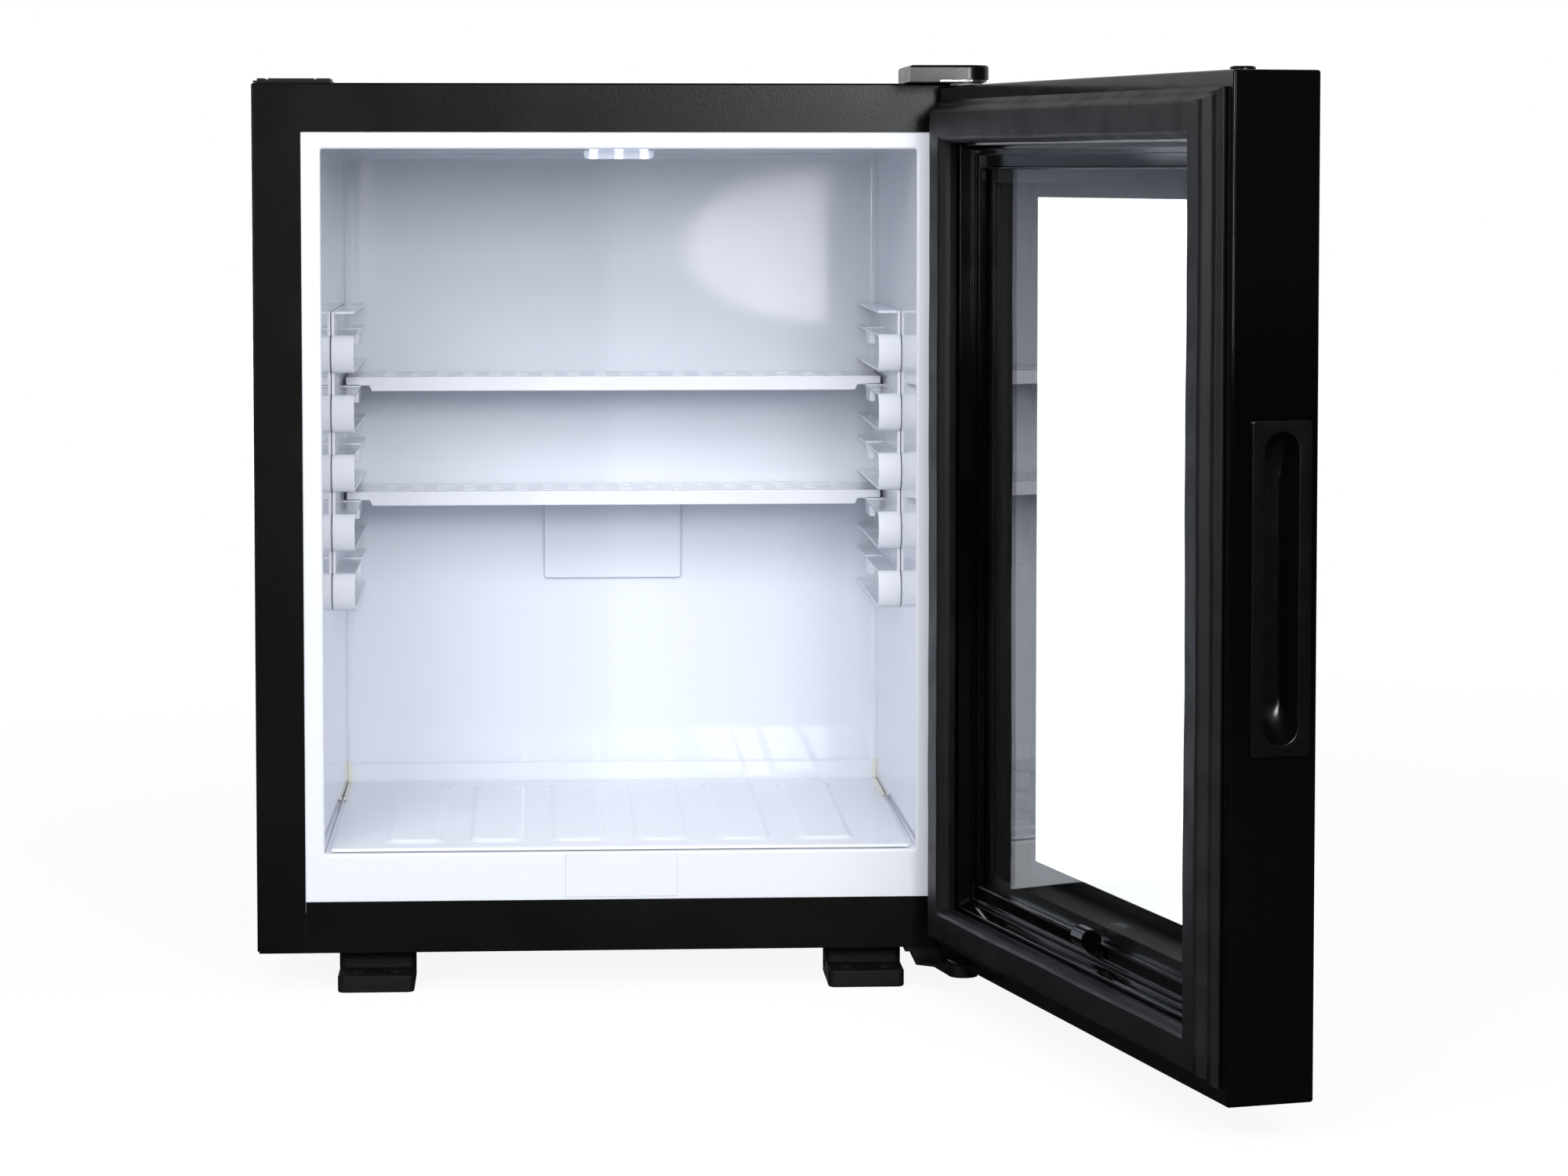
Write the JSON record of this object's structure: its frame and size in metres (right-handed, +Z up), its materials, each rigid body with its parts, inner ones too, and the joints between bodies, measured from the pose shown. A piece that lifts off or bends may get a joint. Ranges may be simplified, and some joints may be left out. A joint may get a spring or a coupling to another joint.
{
  "type": "glass door minibar fridge",
  "caption": "Small black cabinet fridge with a hinged glass door that stands open on a white interior with shallow shelves.",
  "frame": {"origin": "centre of the cabinet's flat underside, inside its pressed stiffener", "axes": "+Z up, +Y towards the cabinet's back, +X to the right of someone who faces the door"},
  "size_m": [0.5131, 0.7674, 0.5073],
  "materials": {
    "black_steel": "fine textured black paint",
    "black_gloss": "gloss black moulding",
    "black_satin": "satin black moulding",
    "black_metal": "satin black paint",
    "white_plastic": "glossy white sheet",
    "rack_plastic": "satin white moulding",
    "grey_plastic": "satin grey moulding",
    "dark_plastic": "satin black moulding",
    "clear_plastic": "clear moulding",
    "glass": "clear polished glass",
    "spacer": "black anodised, with fine holes",
    "gasket": "satin dark grey soft profile",
    "magnet": "dull black",
    "rubber": "matt black",
    "foam": "rigid yellowish foam",
    "aluminium": "cast",
    "steel": "zinc plated",
    "unit_tube": "satin black paint",
    "boiler_jacket": "satin black paint",
    "board_green": "solder mask",
    "cable": "matt black sleeve"
  },
  "bodies": {
    "cabinet": {"outer_wrap": "black_steel", "base_panel": "black_steel", "back_panel": "black_steel", "foam_insulation": "foam", "inner_liner": "white_plastic", "floor_pan": "white_plastic", "switch_plate": "white_plastic", "reed_switch": "dark_plastic", "evaporator_cover": "white_plastic", "evaporator_block": "aluminium", "lamp_lens": "clear_plastic", "lamp_housing": "white_plastic", "lamp_board": "board_green", "shelf_rack_left": "rack_plastic", "shelf_rack_right": "rack_plastic", "foot_front_left": "rubber", "foot_front_right": "rubber", "foot_rear_left": "rubber", "foot_rear_right": "rubber", "top_hinge_plate": "steel", "top_hinge_pin": "steel", "top_hinge_screw_1": "steel", "top_hinge_screw_2": "steel", "top_hinge_cover": "black_satin", "bottom_hinge_bracket": "black_metal", "bottom_hinge_pin": "steel", "bottom_hinge_screw_1": "steel", "bottom_hinge_screw_2": "steel", "hinge_blank_plate": "black_metal", "absorber_vessel": "unit_tube", "absorber_coil": "unit_tube", "vapour_line": "unit_tube", "liquid_line": "unit_tube", "gas_return_line": "unit_tube", "condenser": "unit_tube", "boiler_case": "boiler_jacket", "heater_cartridge": "steel", "heater_lead": "cable", "boiler_bracket": "black_metal", "unit_strap_left": "black_metal", "unit_strap_right": "black_metal", "control_box": "dark_plastic", "control_board": "board_green", "control_lid": "dark_plastic", "power_inlet": "dark_plastic"},
    "door": {"door_frame": "black_gloss", "door_inner_frame": "black_gloss", "outer_glass": "glass", "inner_glass": "glass", "glass_spacer": "spacer", "door_gasket": "gasket", "gasket_magnet": "magnet", "handle_insert": "black_satin", "top_hinge_bush": "grey_plastic", "bottom_hinge_bush": "grey_plastic", "door_top_plug": "black_satin", "switch_magnet_holder": "black_gloss", "switch_magnet": "magnet"},
    "upper_shelf": {"upper_shelf": "rack_plastic"},
    "lower_shelf": {"lower_shelf": "rack_plastic"}
  },
  "joints": [
    {"name": "door_hinge", "type": "hinge", "parent": "cabinet", "child": "door", "pos_m": [0.187, -0.2055, 0], "axis": [0, 0, 1], "range_deg": [-104, 4]},
    {"name": "upper_shelf_slide", "type": "slide", "parent": "cabinet", "child": "upper_shelf", "axis": [0, -1, 0], "range_m": [0, 0.06]},
    {"name": "lower_shelf_slide", "type": "slide", "parent": "cabinet", "child": "lower_shelf", "axis": [0, -1, 0], "range_m": [0, 0.06]}
  ]
}
